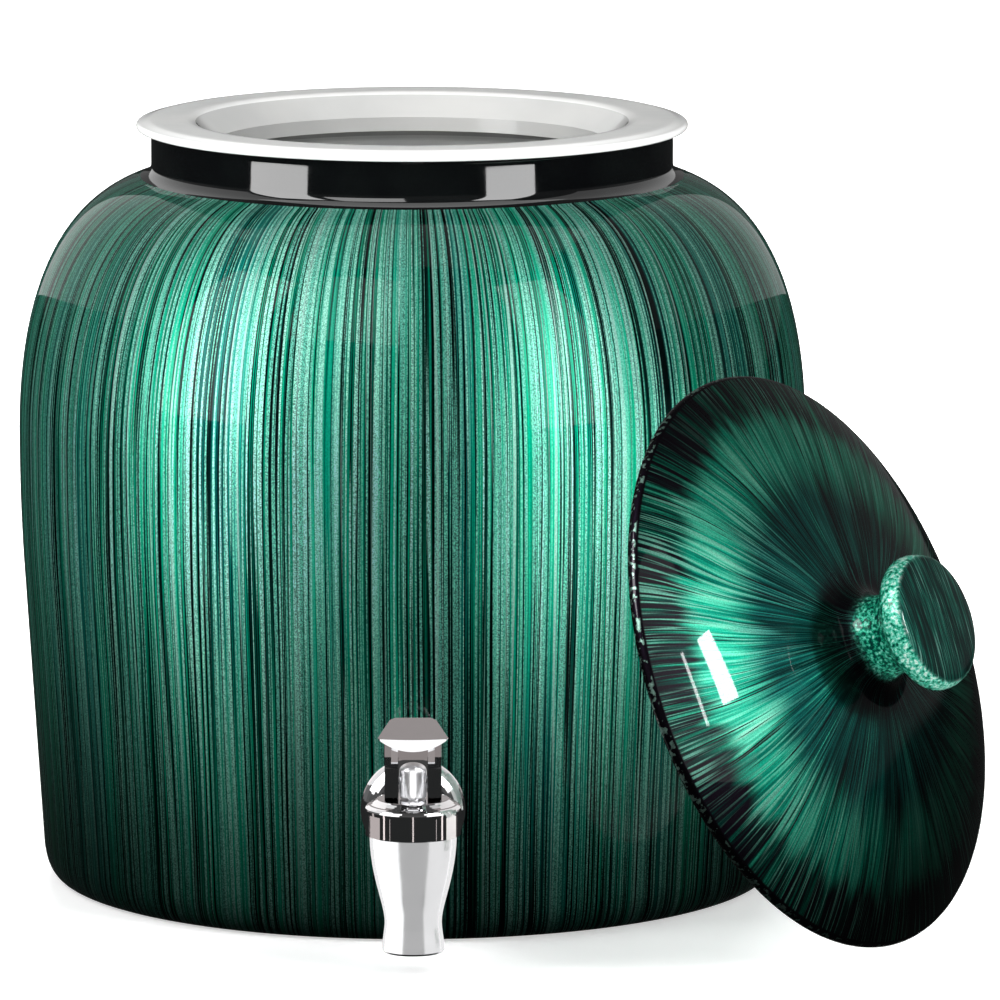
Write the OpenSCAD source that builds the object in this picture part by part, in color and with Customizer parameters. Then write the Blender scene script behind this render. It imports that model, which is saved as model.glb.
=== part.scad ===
// Countertop water dispenser: a glazed porcelain crock with a lever faucet low
// on its front, and a domed lid that stands beside it, leaning on its side.
// Millimetres. The origin is the centre of the crock's foot on the table,
// +Z is up and the faucet faces -Y.

/* [Crock] */
// Radius at the widest circle of the belly
belly_r = 139.5; // [138.5:0.5:141]
// Height of the widest circle
belly_z = 160; // [150:1:166]
// Height of the rim's flat top
crock_h = 270.8; // [270:0.2:272]
// Outer radius of the foot ring
foot_r = 123.5; // [121:0.5:126]
// Thickness of the wall
wall_t = 7; // [6:0.5:8]
// Height of the inside floor above the table
floor_z = 9; // [8:0.5:11]

/* [Neck and rim] */
// Outer radius of the neck at its waist
neck_r = 92.3; // [91:0.1:93]
// Outer radius of the rim flange
flange_r = 97.5; // [96.5:0.5:99]
// Radius of the throat that holds an inverted bottle's neck
throat_r = 69.5; // [67.5:0.5:71]
// Length of the throat's straight land
throat_l = 5; // [4:0.5:6]

/* [Lid] */
// Outer radius of the lid
lid_r = 102; // [100:0.5:103]
// Height of the dome at the foot of the knob
dome_h = 27; // [25:0.5:29]
// Height of the top of the knob
knob_h = 58.5; // [57:0.5:60]
// Outer radius of the ring that drops into the throat
ring_r = 66; // [64:0.5:67]
// Direction that the leaning lid faces, about +Z from +X
lid_azimuth = -33; // [-34:0.5:-32]
// Lean of the lid back from upright
lid_lean = 20.9; // [20.5:0.1:22]
// Centre of the lid's rim, to the right of the crock's axis
lid_x = 135.0; // [135:0.5:145]
// Centre of the lid's rim, in front of the crock's axis
lid_y = -116.7; // [-126:0.5:-116]

/* [Faucet] */
// Distance from the crock's axis to the spout's axis
spout_reach = 178; // [177:0.5:184]
// Height of the shank's axis
shank_z = 48.2; // [47.5:0.1:49]
// Radius over the shank's thread
shank_r = 8; // [7.5:0.1:8.2]
// Height of the spout's mouth
spout_z = 7.2; // [6:0.2:9]
// Radius of the outlet bore
outlet_r = 7.4; // [7:0.1:7.6]
// Outer radius of the bonnet's skirt
bonnet_r = 16.5; // [16.2:0.1:17]
// Number of flats around the bonnet
bonnet_flats = 10; // [8:1:12]
// Radius of the wall escutcheon
escutcheon_r = 18; // [17:0.5:20]

/* [Lever and valve] */
// Radius of the lever's cross pin
pin_r = 1.5; // [1.3:0.1:1.6]
// Height of the pin's axis with the valve shut
pin_z = 66.2; // [66:0.1:66.4]
// Largest tilt of the lever
lever_travel = 35; // [30:5:40]
// Lift of the valve for each radian of lever tilt
lift_per_rad = 3.5; // [3:0.1:4]
// Width across the front edge of the paddle
paddle_w = 24; // [22:0.5:26]
// Width across the back edge of the paddle
paddle_back_w = 15.2; // [13:0.2:17]
// Length of the paddle from back to front
paddle_l = 18; // [16:0.5:20]

/* [Hidden] */
$fn = 96;
seat_fn = 480;                  // for surfaces that a gasket is seated against
eps = 0.01;

// Crock wall: heel, straight taper, then the belly and shoulder curves
heel = [131.7, 13];
taper_top = [138.1, 112];
neck_foot = [97.2, 250];        // where the shoulder meets the neck
neck_waist_z = 255;
lip_r = 1.35;                   // rounding of the flange's edge
throat_top_z = crock_h - 8.3;
foot_w = 11;                    // width of the foot ring
foot_h = 2.5;                   // height of the recess inside it
hole_r = shank_r + 0.6;         // hole in the wall for the shank

// Stack of parts on the shank, as distances from the crock's axis
taper = (taper_top.x - heel.x) / (taper_top.y - heel.y);
wall_out = heel.x + (shank_z - heel.y) * taper;
wall_in = wall_out - wall_t;
gasket_out = wall_out + 2.8;    // outer gasket's front face
escutcheon_back = wall_out + 1.6;
escutcheon_t = 6;
arm_start = escutcheon_back + escutcheon_t;
gasket_in = wall_in - 3;        // inner gasket's inside face
washer_t = 1.5;
nut_t = 9;
shank_end = gasket_in - washer_t - nut_t - 5;
gasket_r = 15;

// Arm from the wall to the valve chamber: it slopes down under the bonnet
arm_slope = 28;
arm_l = 30.6;
water_r = 4.2;                  // water passage through shank and arm
chamber_r = 10.6;
chamber_floor_z = 30;
seat_z = 32.5;
seat_r = 5.5;
body_top_z = 54;
skirt_z = 47.7;                 // lower edge of the bonnet's skirt
cup_top_z = 55.2;               // top of the seat cup's clamped flange
land_z = 60;                    // flat on the bonnet that the lever bears on
spring_top_z = 57.2;

// Lever and stem
heel_gap = 0.2;                 // lever heel above the bonnet's land
heel_h = pin_z - land_z - heel_gap;
stem_r = 2.5;
head_r = 4.65;                  // half width of the stem's head
head_top_z = 72.3;
leg_in = head_r + 0.3;
leg_out = 9.65;
run = 0.05;                     // running clearance on a radius
flat_half = 2.1;                // half width across the stem's flats
cup_floor_z = 40;

chrome = [0.82, 0.83, 0.85];

// Points along a cubic curve from a to d, steered by b and c
function curve(a, b, c, d, n = 10) =
    [for (i = [0:n]) let (t = i / n, s = 1 - t)
        s^3 * a + 3 * s^2 * t * b + 3 * s * t^2 * c + t^3 * d];

// Points along a circular arc
function arc(centre, r, from, to, n = 8) =
    [for (i = [0:n]) let (a = from + (to - from) * i / n)
        centre + r * [cos(a), sin(a)]];

// The path without its first point, to join it to one that ends there
function rest(path) = [for (i = [1:len(path) - 1]) path[i]];

function reversed(path) = [for (i = [len(path) - 1:-1:0]) path[i]];

function unit(v) = v / norm(v);

// A path moved to its left by d, for a path that goes up the outside
function inset(path, d) =
    [for (i = [0:len(path) - 1])
        let (a = path[max(i - 1, 0)], b = path[min(i + 1, len(path) - 1)],
             t = unit(b - a))
        path[i] + d * [-t.y, t.x]];

// ---- Crock outline, radius against height ----

heel_curve = curve([foot_r, 0], [foot_r + 5, 0], heel - [0.5, 8], heel, 6);
belly_curve = curve(taper_top, taper_top + [16 * taper, 16],
                    [belly_r, belly_z - 16], [belly_r, belly_z], 8);
shoulder_curve = curve([belly_r, belly_z], [belly_r, belly_z + 44],
                       neck_foot + 32 * [cos(18), -sin(18)], neck_foot, 22);
neck_curve = curve(neck_foot, neck_foot + [-1.2, 0.9], [neck_r, 251.4],
                   [neck_r, neck_waist_z], 7);
side = concat(heel_curve, belly_curve, rest(shoulder_curve));
lip_centre = [flange_r - lip_r, crock_h - 0.9 - lip_r];
rim = concat(
    [[neck_r, neck_waist_z]],
    curve([neck_r, 264.6], [neck_r, 266.4], [neck_r + 1, lip_centre.y - lip_r],
          lip_centre - [0, lip_r], 5),
    rest(arc(lip_centre, lip_r, -90, 90, 8)),
    [[neck_r, crock_h], [throat_r + 10.5, crock_h]],
    curve([throat_r + 9, crock_h - 0.1], [throat_r + 7.6, crock_h - 0.5],
          [throat_r + 6.8, crock_h - 1.2], [throat_r + 6, crock_h - 2.4], 4),
    [[throat_r, throat_top_z]]);
inner_side = [for (p = inset(concat([heel + [0.8, 12]], belly_curve,
                                    rest(shoulder_curve)), wall_t))
              if (p.x > neck_r + 2) p];
inside = concat(
    [[throat_r, throat_top_z - throat_l], [neck_r - 8, 252.5],
     [neck_r - 7, 250]],
    reversed(inner_side),
    rest(curve(inner_side[0], inner_side[0] - [0.8, 10],
               [foot_r - 3, floor_z], [foot_r - 16, floor_z], 7)),
    [[0, floor_z]]);

// Everything inside the crock's outer surface
module crock_envelope()
    rotate_extrude($fn = seat_fn)
        polygon(concat([[0, 0]], side, rest(neck_curve),
                       [[0, neck_waist_z]]));

// The space inside the crock, below the neck
module crock_cavity()
    rotate_extrude($fn = seat_fn)
        polygon(concat([[0, neck_foot.y]], inside));

module crock()
    color([0.05, 0.36, 0.28])
    difference() {
        rotate_extrude()
            polygon(concat([[foot_r - foot_w, 0]], side, rest(neck_curve),
                           rest(rim), inside,
                           [[0, foot_h], [foot_r - foot_w - 1.5, foot_h]]));
        on_shank(wall_in - 10) cylinder(r = hole_r, h = wall_t + 20);
    }

// ---- Lid, in its own frame: the rim's lower face is at height 0 ----

rim_round = 2.5;                // rounding of the lid's edge
lid_t = 6.5;                    // thickness of the dome
seat_in = 86;                   // inner radius of the face that rests on the rim
ring_t = 6;
ring_h = 9;                     // how far the ring reaches below the rim
knob_r = 23.8;
knob_neck_r = 14.2;
dome_foot = [24, dome_h];

lid_edge = [lid_r - rim_round, rim_round];
dome_start = lid_edge + rim_round * [cos(60), sin(60)];
dome_curve = curve(dome_start, dome_start + 19 * [-sin(60), cos(60)],
                   dome_foot + 36 * [cos(9), -sin(9)], dome_foot, 16);
lid_top = concat(
    arc(lid_edge, rim_round, -90, 60, 8),
    rest(dome_curve),
    rest(curve(dome_foot, [17, dome_h + 1], [knob_neck_r, 32],
               [knob_neck_r, 38], 8)),
    rest(curve([knob_neck_r, 38], [knob_neck_r, 44], [17.5, 46.5],
               [21.5, 47.8], 8)),
    rest(curve([21.5, 47.8], [knob_r + 0.7, 48.9], [knob_r + 0.7, 53],
               [22.4, knob_h - 2], 8)),
    rest(curve([22.4, knob_h - 2], [21, knob_h - 0.8], [10, knob_h],
               [0, knob_h], 8)));
lid_under = [
    [0, dome_h - lid_t], [30, dome_h - lid_t - 1.6],
    [ring_r - ring_t, dome_h - lid_t - 8], [ring_r - ring_t, -ring_h + 1],
    [ring_r - ring_t + 1, -ring_h], [ring_r - 1.5, -ring_h],
    [ring_r, -ring_h + 1.5], [ring_r, dome_h - lid_t - 9.5], [seat_in - 5, 5.5],
    [seat_in, 0]
];

// Moves a part from the lid's frame to where the lid leans
module leaning()
    translate([lid_x, lid_y, lid_r * cos(lid_lean) + 0.4])
        rotate([0, 90 - lid_lean, lid_azimuth])
            children();

module lid()
    color([0.04, 0.28, 0.22])
    leaning()
        rotate_extrude()
            polygon(concat(lid_top, lid_under));

// ---- Faucet ----

// Moves a part drawn around the Z axis onto the spout's axis
module on_spout()
    translate([0, -spout_reach, 0]) children();

// Moves a part drawn around the Z axis onto the shank's axis, with its +Z
// pointing out of the crock and its base at this distance from the crock's axis
module on_shank(distance)
    translate([0, -distance, shank_z]) rotate([90, 0, 0]) children();

// A round part with a hole, from near to far along the shank
module shank_ring(near, far, r, r_in)
    on_shank(near)
        difference() {
            cylinder(r = r, h = far - near);
            translate([0, 0, -1]) cylinder(r = r_in, h = far - near + 2);
        }

body_outline = concat(
    [[0, spout_z], [10.2, spout_z]],
    curve([10.65, spout_z + 0.7], [10.55, spout_z + 4], [9.72, 14.5],
          [9.72, 17.4], 6),
    rest(curve([9.72, 17.4], [9.72, 23.5], [14.6, 33], [14.8, 47], 12)),
    [[14.8, skirt_z - 0.3], [14.5, skirt_z - 0.3], [14.5, body_top_z],
     [0, body_top_z]]);
body_hollow = [
    [0, spout_z - 1], [outlet_r, spout_z - 1], [outlet_r, 21], [seat_r, 25],
    [seat_r, seat_z], [seat_r + 1.6, seat_z],
    [seat_r + 2.6, chamber_floor_z], [chamber_r, chamber_floor_z],
    [chamber_r, body_top_z + 1], [0, body_top_z + 1]
];

thread_pitch = 1.5;
thread_h = 0.6;
thread_n = floor((wall_out - shank_end) / thread_pitch) - 1;
thread_outline = concat(
    [[0, 0], [shank_r - thread_h, 0]],
    [for (i = [0:thread_n]) each [
        [shank_r - thread_h, 0.4 + i * thread_pitch],
        [shank_r, 0.4 + (i + 0.4) * thread_pitch],
        [shank_r, 0.4 + (i + 0.6) * thread_pitch]]],
    [[shank_r - thread_h, arm_start - shank_end + eps],
     [0, arm_start - shank_end + eps]]);

// Sloping stretch of the arm or of its passage, from the wall down to the body
module sloped(r1, r2, length)
    translate([0, -arm_start - 1, shank_z]) rotate([90 + arm_slope, 0, 0])
        cylinder(r1 = r1, r2 = r2, h = length);

module faucet_body()
    color(chrome)
    difference() {
        union() {
            on_spout() rotate_extrude() polygon(body_outline);
            difference() {
                sloped(9.5, 7, arm_l);
                translate([-15, -arm_start, shank_z - 15]) cube(30);
            }
            on_shank(arm_start) cylinder(r = 10.4, h = 3.6);
            on_shank(shank_end) rotate_extrude() polygon(thread_outline);
        }
        on_spout() rotate_extrude() polygon(body_hollow);
        sloped(water_r, water_r, arm_l - 2);
        on_shank(shank_end - 1)
            cylinder(r = water_r + 0.4, h = arm_start - shank_end + 2.5);
    }

module wall_escutcheon()
    color(chrome)
    on_shank(escutcheon_back)
        rotate_extrude()
            polygon(concat(
                [[shank_r + 0.3, gasket_out - escutcheon_back],
                 [gasket_r + 0.4, gasket_out - escutcheon_back],
                 [gasket_r + 0.4, 0], [escutcheon_r - 0.4, 0]],
                curve([escutcheon_r, 0.5], [escutcheon_r - 0.6, 3.4],
                      [14.5, escutcheon_t], [11.2, escutcheon_t], 8),
                [[shank_r + 0.3, escutcheon_t]]));

module outer_gasket()
    color([0.1, 0.1, 0.1])
    difference() {
        shank_ring(wall_out - 3, gasket_out, gasket_r, shank_r + 0.2);
        crock_envelope();
    }

module inner_gasket()
    color([0.1, 0.1, 0.1])
    intersection() {
        shank_ring(gasket_in, wall_in + 2, gasket_r, shank_r + 0.2);
        crock_cavity();
    }

module shank_washer()
    color([0.92, 0.92, 0.9])
    shank_ring(gasket_in - washer_t, gasket_in, gasket_r - 1, shank_r + 0.3);

module shank_nut()
    color([0.92, 0.92, 0.9])
    on_shank(gasket_in - washer_t - nut_t)
        difference() {
            union() {
                cylinder(r = 13, h = nut_t, $fn = 6);
                translate([0, 0, nut_t - 2]) cylinder(r = 13.6, h = 2);
            }
            translate([0, 0, -1]) cylinder(r = shank_r + 0.05, h = nut_t + 2);
        }

// ---- Bonnet ----

bonnet_outline = concat(
    [[14.75, skirt_z], [bonnet_r - 0.3, skirt_z], [bonnet_r, skirt_z + 0.3],
     [bonnet_r, 55.9]],
    rest(curve([bonnet_r, 55.9], [bonnet_r, 57.2], [bonnet_r - 0.6, 57.9],
               [bonnet_r - 1.9, 58.3], 6)),
    rest(curve([bonnet_r - 1.9, 58.3], [13.4, 58.8], [12.6, land_z],
               [11.8, land_z], 5)),
    [[0, land_z], [0, spring_top_z], [6, spring_top_z], [6, cup_top_z],
     [14.75, cup_top_z]]);
flat_w = 6.2;                   // width of each flat round the skirt
flat_top_z = 55.4;

module bonnet()
    color(chrome)
    on_spout()
        difference() {
            rotate_extrude() polygon(bonnet_outline);
            for (i = [0:bonnet_flats - 1])
                rotate([0, 0, 90 + (i + 0.5) * 360 / bonnet_flats])
                    translate([bonnet_r - 0.55, -flat_w / 2, skirt_z - 1])
                        cube([2, flat_w, flat_top_z - skirt_z + 1]);
            intersection() {
                translate([0, 0, spring_top_z - 1])
                    cylinder(r = stem_r + run, h = land_z - spring_top_z + 2);
                cube([2 * (flat_half + run), 20, 200], center = true);
            }
        }

// ---- Valve ----

stem_outline = concat(
    [[0, 34.6], [3.4, 34.6], [3.4, 37.8], [stem_r, 37.8],
     [stem_r, land_z + 0.4], [head_r - 0.3, land_z + 0.4],
     [head_r, land_z + 0.7], [head_r, head_top_z - 3]],
    rest(curve([head_r, head_top_z - 3], [head_r, head_top_z - 1.2],
               [2.8, head_top_z], [0, head_top_z], 8)));

module valve_stem()
    color(chrome)
    difference() {
        on_spout()
            difference() {
                rotate_extrude() polygon(stem_outline);
                for (side = [-1, 1])
                    translate([side * (flat_half + 5), 0, 50])
                        cube([10, 20, 2 * (land_z - 50) + 0.8], center = true);
            }
        translate([-10, -spout_reach, pin_z]) rotate([0, 90, 0])
            cylinder(r = pin_r + run, h = 20);
    }

cup_outline = [
    [0, seat_z - 1.3], [4.4, seat_z - 1.3], [5.3, seat_z],
    [7.3, seat_z], [7.3, 35], [7, cup_floor_z], [9.7, 52],
    [9.7, body_top_z], [14.3, body_top_z], [14.3, cup_top_z],
    [8.8, cup_top_z], [8.8, 52], [5.8, 41.5], [5.8, cup_floor_z],
    [stem_r + 0.1, cup_floor_z], [stem_r + 0.1, 37.9], [3.5, 37.9],
    [3.5, 34.5], [0, 34.5]
];

module seat_cup()
    color([0.9, 0.9, 0.88])
    on_spout() rotate_extrude() polygon(cup_outline);

// Coil spring, as a round wire swept along a helix
spring_r = 4.2;
wire_r = 0.45;
spring_turns = 7;
rings_per_turn = 20;
wire_sides = 8;

function helix(a, low, high) =
    [spring_r * cos(a), spring_r * sin(a),
     low + (high - low) * a / (360 * spring_turns)];

module valve_spring() {
    low = cup_floor_z + wire_r + 0.1;
    high = spring_top_z - wire_r - 0.1;
    rings = spring_turns * rings_per_turn;
    points = [for (i = [0:rings], k = [0:wire_sides - 1])
        let (a = 360 * i / rings_per_turn, b = 360 * k / wire_sides)
        helix(a, low, high) + wire_r * [cos(b) * cos(a), cos(b) * sin(a), sin(b)]];
    sides = [for (i = [0:rings - 1], k = [0:wire_sides - 1])
        let (p = i * wire_sides, q = p + wire_sides, n = (k + 1) % wire_sides)
        [p + k, q + k, q + n, p + n]];
    ends = [[for (k = [0:wire_sides - 1]) k],
            [for (k = [wire_sides - 1:-1:0]) rings * wire_sides + k]];
    color([0.75, 0.76, 0.78])
    on_spout() polyhedron(points, concat(sides, ends), convexity = 10);
}

// ---- Lever ----

// Web between the legs and under the paddle, from the pin's axis
web_low = 7.6;
web_high = 17.2;
web_front = -3.4;
web_back = -0.6;

// Side outline of a leg, from the pin's axis, with x towards the back.
// The heel is an involute, so the valve's lift is in proportion to the tilt.
function heel_point(a) =
    let (lift = lift_per_rad * a * PI / 180)
    (heel_h + lift) * [-sin(a), -cos(a)] + lift_per_rad * [-cos(a), sin(a)];

leg_front = heel_point(lever_travel).x;
leg_outline = concat(
    [[4.6, -heel_h]],
    [for (a = [0:5:lever_travel]) heel_point(a)],
    [[leg_front, 5.4], [leg_front + 0.9, 6.6], [-4.8, 7.9], [web_front, 8.6],
     [web_front, web_high], [web_back, web_high], [web_back, 12.5], [3.2, 9],
     [4.6, 5.5]]);
rib_outline = [[web_front, 7.6], [-6.6, 7.4], [-5.2, 13], [web_front, 15]];
rib_in = 5.1;
rib_out = 7.4;
paddle_slope = 13.5;
paddle_top_z = 84.6;            // middle of the paddle's top face
paddle_mid_y = -3;              // middle of the paddle, from the pin's axis
lens_depth = 4.4;               // depth of the paddle's rounded underside
lens_r = ((paddle_w / 2)^2 + lens_depth^2) / (2 * lens_depth);

function paddle_plan(w, wb, l, c) = concat(
    [for (s = [-1:0.25:1]) [s * (w / 2 - c), -l / 2 - c * (1 - s^2)]],
    [[w / 2, -l / 2 + c], [wb / 2 + 0.3, l / 2 - 2], [wb / 2 - 1.5, l / 2],
     [-wb / 2 + 1.5, l / 2], [-wb / 2 - 0.3, l / 2 - 2], [-w / 2, -l / 2 + c]]);

module lever_paddle()
    translate([0, paddle_mid_y, paddle_top_z - pin_z])
        rotate([paddle_slope, 0, 0])
            intersection() {
                translate([0, 0, -lens_depth - 1])
                    linear_extrude(lens_depth + 1)
                        polygon(paddle_plan(paddle_w, paddle_back_w,
                                            paddle_l, 0.8));
                translate([0, paddle_l, lens_r - lens_depth])
                    rotate([90, 0, 0]) cylinder(r = lens_r, h = 2 * paddle_l);
            }

// A side outline, made solid between two distances on both sides of the middle
module on_both_sides(near, far)
    for (side = [-1, 1])
        translate([side > 0 ? near : -far, 0, 0])
            rotate([90, 0, 90])
                linear_extrude(far - near) children();

module lever_handle()
    color(chrome)
    translate([0, -spout_reach, pin_z])
        difference() {
            union() {
                on_both_sides(leg_in, leg_out) polygon(leg_outline);
                on_both_sides(rib_in, rib_out) polygon(rib_outline);
                translate([-leg_out, web_front, web_low])
                    cube([2 * leg_out, web_back - web_front,
                          web_high - web_low]);
                lever_paddle();
            }
            translate([-leg_out - 1, 0, 0]) rotate([0, 90, 0])
                cylinder(r = pin_r + 0.01, h = 2 * leg_out + 2);
        }

module lever_pin()
    color([0.7, 0.71, 0.73])
    translate([-leg_out + 0.3, -spout_reach, pin_z]) rotate([0, 90, 0])
        cylinder(r = pin_r, h = 2 * leg_out - 0.6);

crock();
lid();
faucet_body();
wall_escutcheon();
outer_gasket();
inner_gasket();
shank_washer();
shank_nut();
bonnet();
lever_handle();
lever_pin();
valve_stem();
valve_spring();
seat_cup();
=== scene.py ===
"""Looks of the glazed water dispenser crock, its lever faucet and its lid, built around the CAD frame.

Places and sizes are in metres, except the outlines of the turned ware, which are in mm as in the CAD.
"""

import math

import bmesh
import bpy
import numpy as np
from mathutils import Matrix, Vector


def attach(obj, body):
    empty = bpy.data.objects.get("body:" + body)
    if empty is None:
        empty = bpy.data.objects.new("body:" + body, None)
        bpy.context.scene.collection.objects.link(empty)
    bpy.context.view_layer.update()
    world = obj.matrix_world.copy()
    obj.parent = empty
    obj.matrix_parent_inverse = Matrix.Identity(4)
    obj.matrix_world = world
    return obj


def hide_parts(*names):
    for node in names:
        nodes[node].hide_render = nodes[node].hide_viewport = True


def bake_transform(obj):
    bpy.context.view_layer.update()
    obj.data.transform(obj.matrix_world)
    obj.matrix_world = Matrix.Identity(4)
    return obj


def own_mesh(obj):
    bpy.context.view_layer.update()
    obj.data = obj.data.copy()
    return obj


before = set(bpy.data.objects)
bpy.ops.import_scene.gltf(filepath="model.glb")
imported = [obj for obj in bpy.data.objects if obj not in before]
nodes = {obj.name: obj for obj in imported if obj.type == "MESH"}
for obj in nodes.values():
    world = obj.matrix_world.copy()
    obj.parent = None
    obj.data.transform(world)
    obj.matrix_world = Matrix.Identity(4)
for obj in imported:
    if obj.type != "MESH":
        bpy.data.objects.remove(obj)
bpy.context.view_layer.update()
scene = bpy.context.scene

SPOUT = (0.0, -0.178)           # upright axis of the spout
LID_CENTRE = (0.135, -0.1167, 0.09569)
LID_AZIMUTH = -33               # degrees from +X
LID_LEAN = 20.9                 # degrees, of the lid's axis above the level
LID_TURN = (0.0, math.radians(90 - LID_LEAN), math.radians(LID_AZIMUTH))


# ---------------------------------------------------------------- node graphs

class Graph:
    """Short names for building a node tree. Every method returns a socket, and add with out=None a node."""

    def __init__(self, tree):
        self.tree = tree
        tree.nodes.clear()

    def add(self, kind, inputs=None, out=0, **settings):
        node = self.tree.nodes.new("ShaderNode" + kind)
        for key, value in settings.items():
            setattr(node, key, value)
        for key, value in (inputs or {}).items():
            if isinstance(value, bpy.types.NodeSocket):
                self.tree.links.new(value, node.inputs[key])
            else:
                node.inputs[key].default_value = value
        return node if out is None else node.outputs[out]

    def math(self, operation, a, b=0.0):
        return self.add("Math", {0: a, 1: b}, operation=operation)

    def vector(self, operation, a, b=(0, 0, 0), out=0):
        return self.add("VectorMath", {0: a, 1: b}, operation=operation, out=out)

    def spread(self, value, low, high, to_low=0.0, to_high=1.0, smooth=True):
        """value from low..high, brought to to_low..to_high and held there outside."""
        kind = "SMOOTHSTEP" if smooth else "LINEAR"
        inputs = {0: value, 1: low, 2: high, 3: to_low, 4: to_high}
        return self.add("MapRange", inputs, interpolation_type=kind)

    def mix(self, factor, a, b, blend="MIX"):
        return self.add("Mix", {0: factor, 6: a, 7: b}, out=2, data_type="RGBA", blend_type=blend)

    def grey(self, value):
        return self.add("CombineColor", {0: value, 1: value, 2: value})

    def noise(self, vector, scale=1.0, detail=0.0):
        inputs = {"Vector": vector, "Scale": scale, "Detail": detail, "Roughness": 0.5}
        return self.add("TexNoise", inputs, out="Fac")

    def ramp(self, value, *stops):
        """Colour by value, from stops of place and colour."""
        node = self.tree.nodes.new("ShaderNodeValToRGB")
        self.tree.links.new(value, node.inputs[0])
        elements = node.color_ramp.elements
        while len(elements) < len(stops):
            elements.new(0.5)
        for element, (place, colour) in zip(elements, stops):
            element.position = place
            element.color = colour
        return node.outputs[0]

    def bump(self, height, strength, distance):
        return self.add("Bump", {"Strength": strength, "Distance": distance, "Height": height})

    def object_place(self):
        return self.add("TexCoord", out="Object")


def srgb(red, green, blue):
    """A colour measured in 0..255 display values, as a linear colour."""
    def linear(v):
        v /= 255
        return v / 12.92 if v <= 0.04045 else ((v + 0.055) / 1.055) ** 2.4
    return (linear(red), linear(green), linear(blue), 1.0)


def new_material(name):
    material = bpy.data.materials.new(name)
    material.use_nodes = True
    return material, Graph(material.node_tree)


def finish_material(g, inputs):
    """Adds the shader and the output. inputs maps the shader's socket names to values or sockets."""
    shader = g.add("BsdfPrincipled", inputs)
    g.add("OutputMaterial", {"Surface": shader}, out=None)


# ---------------------------------------------------------------- camera

VIEW_DISTANCE = 3.56
VIEW_HEIGHT = 0.706
VIEW_DOWN = 9.13                # degrees below the level
VIEW_TURN = -0.5                # degrees, negative to the viewer's right
FOCAL_LENGTH = 365.0            # mm, on a sensor 36 mm wide


def add_camera():
    data = bpy.data.cameras.new("camera")
    data.lens = FOCAL_LENGTH
    data.sensor_width = 36.0
    data.clip_end = 100.0
    camera = bpy.data.objects.new("camera", data)
    camera.location = (0.0, -VIEW_DISTANCE, VIEW_HEIGHT)
    camera.rotation_euler = (math.radians(90 - VIEW_DOWN), 0.0, math.radians(VIEW_TURN))
    scene.collection.objects.link(camera)
    scene.camera = camera


# ---------------------------------------------------------------- light

FRONT_SKY = 0.08
BACK_SKY = 0.14
TOP_SKY = (0.06, 0.06, 0.06, 1)
TABLE_GLOOM = (0.02, 0.021, 0.021, 1)
WALL_SIZE = (4.55, 2.4)         # length and height of a side wall
WALL_LEAN = 8.9                 # degrees
WALL_OUT = 1.2                  # distance of a side wall from the crock's axis
WALL_EDGE = (1.95, 0.254)       # Y and Z of the middle of its lower edge
STUDIO = 0.50                   # distance of the crock's softboxes
CLOSE = 0.40                    # distance of the faucet's softboxes from the spout's axis
BROWN = (1.0, 0.88, 0.86)


def direction(azimuth):
    """Level unit vector. Azimuth 0 is towards the viewer and grows to the viewer's right."""
    turn = math.radians(azimuth)
    return Vector((math.sin(turn), -math.cos(turn), 0))


def collected(name, pieces):
    group = bpy.data.collections.new(name)
    for piece in pieces:
        group.objects.link(piece)
    return group


def add_panel(name, place, turn, width, height, luminance, only, shaded_by=None, tint=(1, 1, 1)):
    """An even rectangle that lights only some pieces, and that only some block. turn is in degrees."""
    data = bpy.data.lights.new(name, "AREA")
    data.shape = "RECTANGLE"
    data.size, data.size_y = width, height
    data.energy = luminance * math.pi * width * height
    data.color = tint
    panel = bpy.data.objects.new(name, data)
    panel.location = place
    panel.rotation_euler = [math.radians(v) for v in turn]
    panel.visible_camera = False
    scene.collection.objects.link(panel)
    panel.light_linking.receiver_collection = collected(name + "_targets", only)
    if shaded_by:
        panel.light_linking.blocker_collection = collected(name + "_blockers", shaded_by)


def add_softbox(name, azimuth, distance, low, high, width, luminance, only, centre=(0, 0), **settings):
    """An upright panel that faces an upright axis through centre, from low to high."""
    place = direction(azimuth) * distance
    spot = (centre[0] + place.x, centre[1] + place.y, (low + high) / 2)
    add_panel(name, spot, (90, 0, azimuth), width, high - low, luminance, only, **settings)


def add_side_wall(name, side, luminance, only):
    """A tall pale wall beside the crock, whose lower edge falls towards the back."""
    length, height = WALL_SIZE
    lean = math.radians(WALL_LEAN)
    back = WALL_EDGE[0] + math.sin(lean) * height / 2
    up = WALL_EDGE[1] + math.cos(lean) * height / 2
    turn = (90, side * WALL_LEAN, side * 90)
    add_panel(name, (side * WALL_OUT, back, up), turn, length, height, luminance, only)


def add_world():
    """Dim studio surroundings, nearly dark below the horizon."""
    world = bpy.data.worlds.new("studio")
    world.use_nodes = True
    scene.world = world
    g = Graph(world.node_tree)
    split = g.add("SeparateXYZ", {0: g.add("TexCoord", out="Generated")}, out=None)
    deep, up = split.outputs["Y"], split.outputs["Z"]
    above = g.spread(up, -0.01, 0.01)
    behind = g.spread(deep, -0.35, 0.30, FRONT_SKY, BACK_SKY)
    overhead = g.spread(up, 0.35, 0.85)
    sky = g.mix(overhead, g.grey(behind), TOP_SKY)
    back = g.add("Background", {"Color": g.mix(above, TABLE_GLOOM, sky), "Strength": 1.0})
    g.add("OutputWorld", {"Surface": back}, out=None)


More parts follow.
